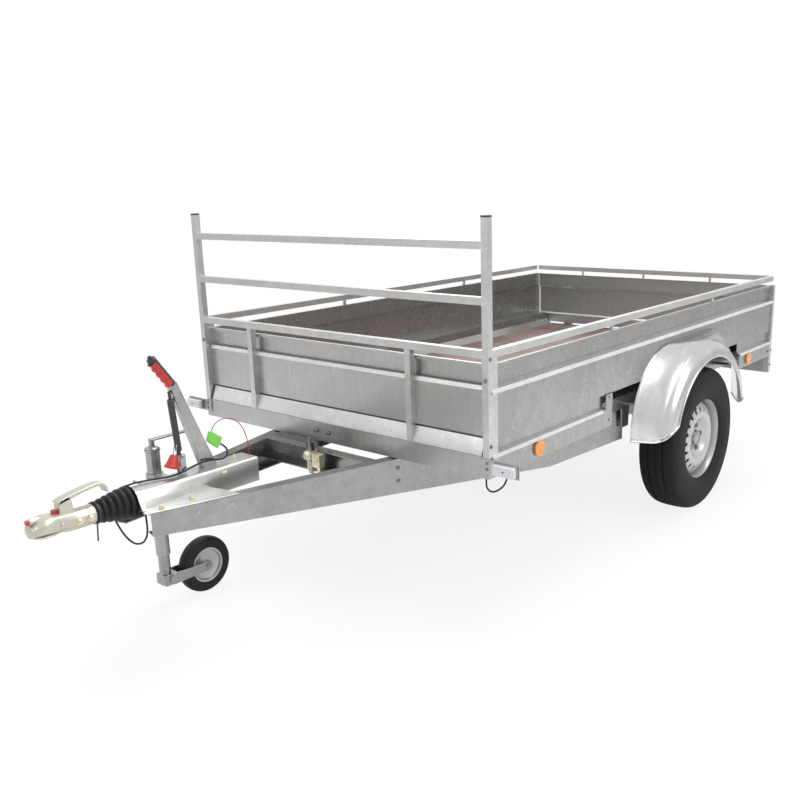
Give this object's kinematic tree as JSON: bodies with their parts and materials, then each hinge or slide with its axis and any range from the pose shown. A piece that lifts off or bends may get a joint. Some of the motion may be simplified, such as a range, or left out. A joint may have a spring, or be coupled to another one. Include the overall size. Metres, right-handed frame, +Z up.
{
  "type": "single-axle tipping box trailer",
  "caption": "Galvanised single-axle box trailer: tipping bed on a V drawbar, overrun coupling, jockey wheel, drop tailgate, rails and headboard frame.",
  "frame": {"origin": "on the ground, under the middle of the whole length and width", "axes": "+X forward to the coupling, +Y to the trailer's left, +Z up"},
  "size_m": [3.764, 1.74, 1.379],
  "materials": {
    "galvanised": "hot-dip galvanised, spangled",
    "zinc": "bright zinc plated",
    "coupling_zinc": "passivated zinc, pale cream",
    "rim_silver": "silver paint, satin",
    "rubber": "moulded rubber",
    "tyre": "road tyre",
    "plywood": "brown film-faced plywood",
    "black_plastic": "matt black",
    "black_paint": "black paint",
    "red_lens": "moulded lens",
    "clear_lens": "moulded lens",
    "orange_lens": "prismatic reflector"
  },
  "bodies": {
    "drawbar": {"drawbar_left": "galvanised", "drawbar_right": "galvanised", "drawbar_cross_member": "galvanised", "overrun_housing": "galvanised", "draw_tube": "zinc", "bellows": "rubber", "coupling_head": "coupling_zinc", "coupling_handle": "coupling_zinc", "brake_lever": "galvanised", "brake_grip": "black_plastic", "brake_strut": "black_paint", "jockey_clamp": "galvanised", "jockey_outer_tube": "zinc", "jockey_crank": "zinc", "tilt_latch": "zinc"},
    "jockey_leg": {"jockey_nut": "zinc"},
    "jockey_fork": {"jockey_fork": "zinc"},
    "jockey_wheel": {"jockey_rim": "zinc", "jockey_tyre": "rubber"},
    "bed": {"wall_left": "galvanised", "wall_right": "galvanised", "side_beam_left": "galvanised", "side_beam_right": "galvanised", "front_beam": "galvanised", "rear_beam": "galvanised", "wall_front": "galvanised", "longerons": "galvanised", "bearers": "galvanised", "floor_panel": "plywood", "front_posts": "galvanised", "rear_posts": "galvanised", "side_rails": "galvanised", "front_rail": "galvanised", "front_stakes": "galvanised", "headboard": "galvanised", "headboard_caps": "black_plastic", "mudguard_left": "galvanised", "mudguard_right": "galvanised", "mudguard_stays": "galvanised", "axle_beam": "galvanised", "axle_arms": "galvanised", "hinge_brackets": "galvanised", "tailgate_hinges": "galvanised", "rear_lamps": "red_lens", "lamp_carriers": "galvanised", "front_lamp_brackets": "galvanised", "front_lamps": "clear_lens", "side_reflectors": "orange_lens"},
    "wheel_left": {"tyre_left": "tyre", "rim_left": "rim_silver"},
    "wheel_right": {"tyre_right": "tyre", "rim_right": "rim_silver"},
    "tailgate": {"tailgate_panel": "galvanised", "tailgate_rail": "galvanised"}
  },
  "joints": [
    {"name": "bed_tilt", "type": "hinge", "parent": "drawbar", "child": "bed", "pos_m": [-0.422, 0, 0.47], "axis": [0, -1, 0], "range_deg": [0, 18]},
    {"name": "wheel_left_spin", "type": "hinge", "parent": "bed", "child": "wheel_left", "pos_m": [-0.822, 0.757, 0.3255], "axis": [0, 1, 0], "continuous": true},
    {"name": "wheel_right_spin", "type": "hinge", "parent": "bed", "child": "wheel_right", "pos_m": [-0.822, -0.757, 0.3255], "axis": [0, 1, 0], "continuous": true},
    {"name": "tailgate_hinge", "type": "hinge", "parent": "bed", "child": "tailgate", "pos_m": [-1.878, 0, 0.604], "axis": [0, -1, 0], "range_deg": [0, 170]},
    {"name": "jockey_wind", "type": "slide", "parent": "drawbar", "child": "jockey_leg", "axis": [0, 0, 1], "range_m": [-0.12, 0.03]},
    {"name": "jockey_swivel", "type": "hinge", "parent": "jockey_leg", "child": "jockey_fork", "pos_m": [1.266, -0.29, 0.3], "axis": [0, 0, 1], "continuous": true},
    {"name": "jockey_wheel_spin", "type": "hinge", "parent": "jockey_fork", "child": "jockey_wheel", "pos_m": [1.098, -0.29, 0.107], "axis": [0, 1, 0], "continuous": true}
  ]
}
